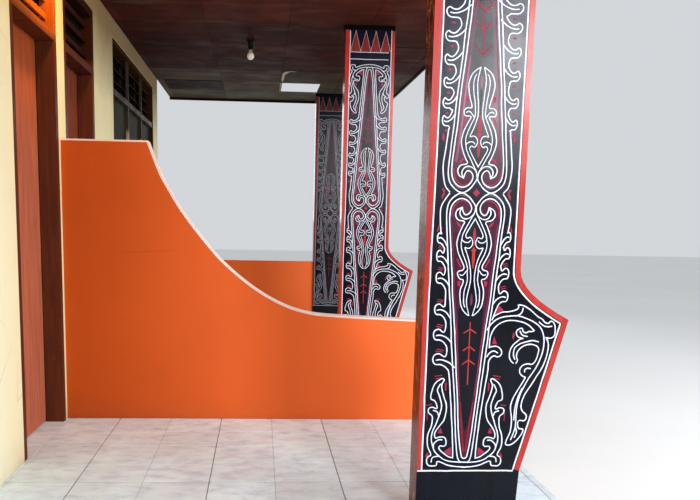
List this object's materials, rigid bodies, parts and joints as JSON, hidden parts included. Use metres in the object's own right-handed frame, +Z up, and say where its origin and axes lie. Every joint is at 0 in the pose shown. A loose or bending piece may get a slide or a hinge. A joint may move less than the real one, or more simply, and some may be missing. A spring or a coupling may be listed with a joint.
{
  "type": "two-door house veranda with painted fin posts",
  "caption": "Covered house veranda with two inward-opening doors, louvred windows, a curved divider wall and tall fin posts painted with traditional scroll ornament.",
  "frame": {"origin": "on the ground, under the middle of the whole part's box", "axes": "+X from the house wall to the garden, +Y along the veranda away from the picture's viewer, +Z up"},
  "size_m": [2.98, 11.174, 4.0113],
  "materials": {
    "floor_tile": "pinkish grey glazed floor tile, darker joints, cement sides",
    "wall_plaster": "cream painted plaster",
    "frame_wood": "dark brown painted wood",
    "bar_wood": "pale beige painted wood, worn",
    "leaf_wood": "reddish brown painted wood",
    "handle_metal": "brushed",
    "window_glass": "dark green tinted glass",
    "orange_plaster": "orange painted plaster",
    "pale_coping": "pale pinkish white painted edge",
    "post_paint": "black paint with red, maroon and white ornament",
    "dark_trim": "dark painted wood",
    "ceiling_board": "dark red-brown painted board",
    "roof_timber": "rough sawn timber",
    "roof_metal": "weathered zinc-coated sheet",
    "lamp_socket": "black plastic",
    "bulb_glass": "opal white glass"
  },
  "bodies": {
    "veranda": {"floor_slab": "floor_tile", "window_wall_near": "wall_plaster", "window_wall_far": "wall_plaster", "door_pier": "wall_plaster", "wall_top": "wall_plaster", "door_frame_near": "frame_wood", "door_frame_far": "frame_wood", "window_frame_near": "frame_wood", "window_frame_far": "frame_wood", "window_bars_near": "bar_wood", "window_bars_far": "bar_wood", "window_glass_near": "window_glass", "window_glass_far": "window_glass", "louvre_blades_near": "window_glass", "louvre_blades_far": "window_glass", "divider_wall": "orange_plaster", "divider_coping": "pale_coping", "end_parapet_near": "orange_plaster", "end_parapet_far": "orange_plaster", "post_1": "post_paint", "post_2": "post_paint", "post_3": "post_paint", "post_4": "post_paint", "post_cap_1": "dark_trim", "post_cap_2": "dark_trim", "post_cap_3": "dark_trim", "post_cap_4": "dark_trim", "ceiling_near": "ceiling_board", "ceiling_far": "ceiling_board", "post_beam": "roof_timber", "ceiling_battens_inner": "roof_timber", "ceiling_battens_outer": "roof_timber", "roof_frame": "roof_timber", "roof_sheet": "roof_metal", "fascia": "dark_trim", "end_trim_near": "dark_trim", "end_trim_far": "dark_trim", "barge_board_near": "dark_trim", "barge_board_far": "dark_trim", "lamp_holder_near": "lamp_socket", "lamp_holder_far": "lamp_socket", "bulb_near": "bulb_glass", "bulb_far": "bulb_glass"},
    "near_door": {"door_leaf_near": "leaf_wood", "door_handle_near": "handle_metal"},
    "far_door": {"door_leaf_far": "leaf_wood", "door_handle_far": "handle_metal"}
  },
  "joints": [
    {"name": "near_door_hinge", "type": "hinge", "parent": "veranda", "child": "near_door", "pos_m": [-1.443, -0.1815, 1.38], "axis": [0, 0, -1], "range_deg": [0, 90]},
    {"name": "far_door_hinge", "type": "hinge", "parent": "veranda", "child": "far_door", "pos_m": [-1.443, 0.0735, 1.38], "axis": [0, 0, 1], "range_deg": [0, 90]}
  ]
}
